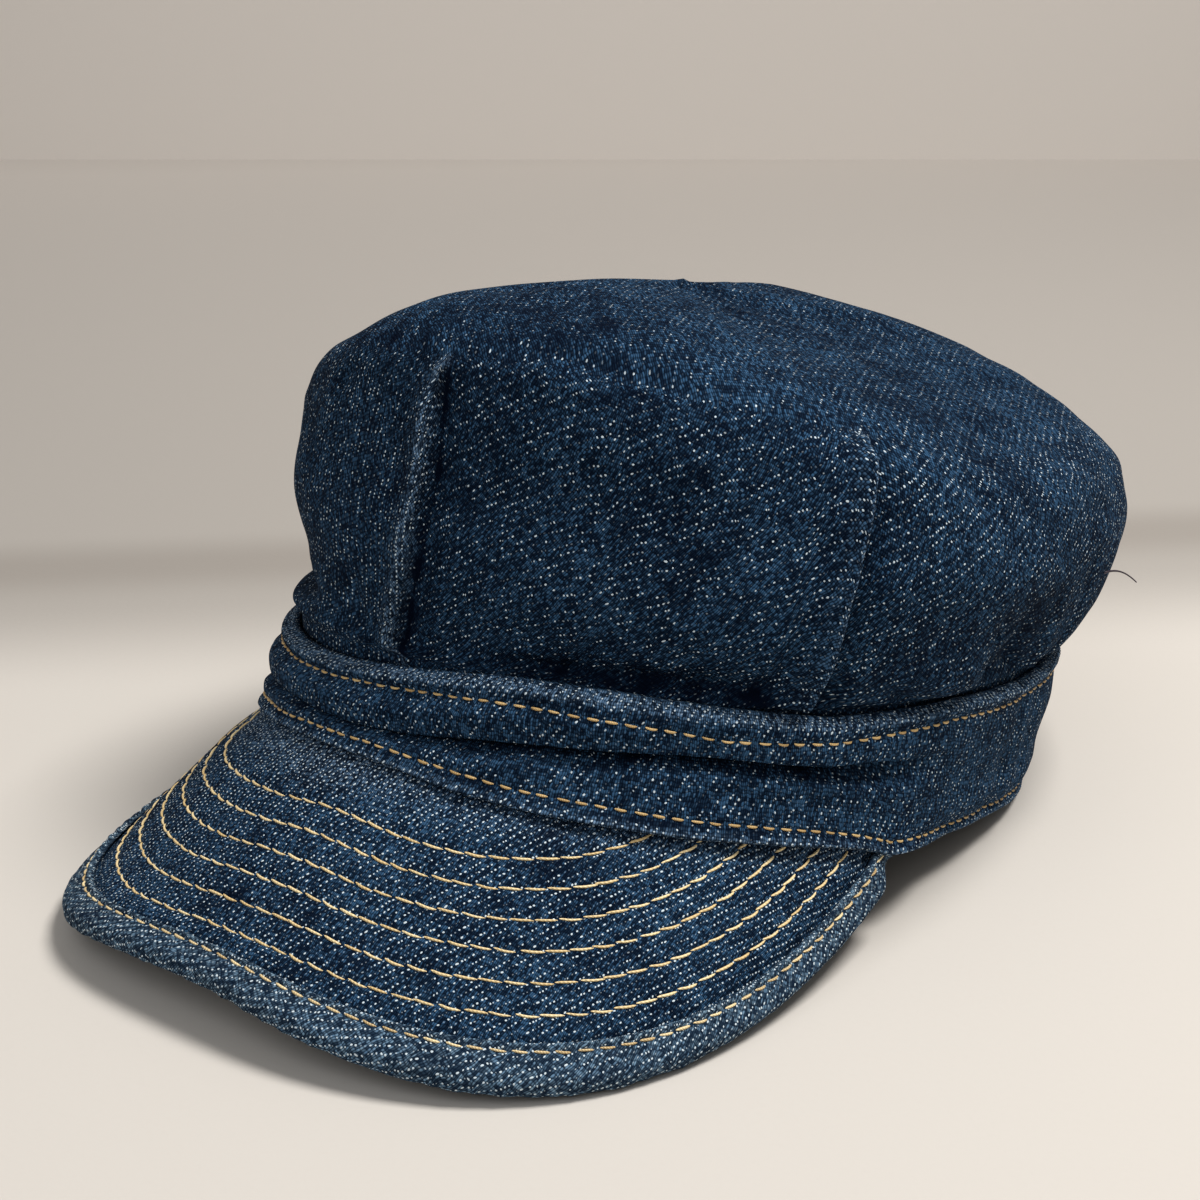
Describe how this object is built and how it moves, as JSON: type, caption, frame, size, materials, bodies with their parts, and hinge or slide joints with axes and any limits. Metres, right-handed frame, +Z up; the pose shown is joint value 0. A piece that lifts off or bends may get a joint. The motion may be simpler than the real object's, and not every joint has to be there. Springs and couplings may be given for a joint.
{
  "type": "work cap",
  "caption": "Soft pleated denim cap with an upright band and an arched, row-stitched peak with a bound edge.",
  "frame": {"origin": "middle of the cap's outline, on the surface that it rests on", "axes": "+Z up, -Y the way the peak points, +X to the wearer's left"},
  "size_m": [0.1826, 0.2856, 0.1315],
  "materials": {
    "crown_denim": "dark indigo twill with pale weft flecks",
    "band_denim": "dark indigo twill, folded and pressed into a crease",
    "peak_denim": "dark indigo twill over a stiff core, rows of golden stitching",
    "binding_denim": "indigo twill strip worn a little lighter",
    "golden_thread": "golden yellow sewing thread"
  },
  "bodies": {
    "root": {"crown": "crown_denim", "band": "band_denim", "peak": "peak_denim", "peak_binding": "binding_denim"}
  },
  "joints": []
}
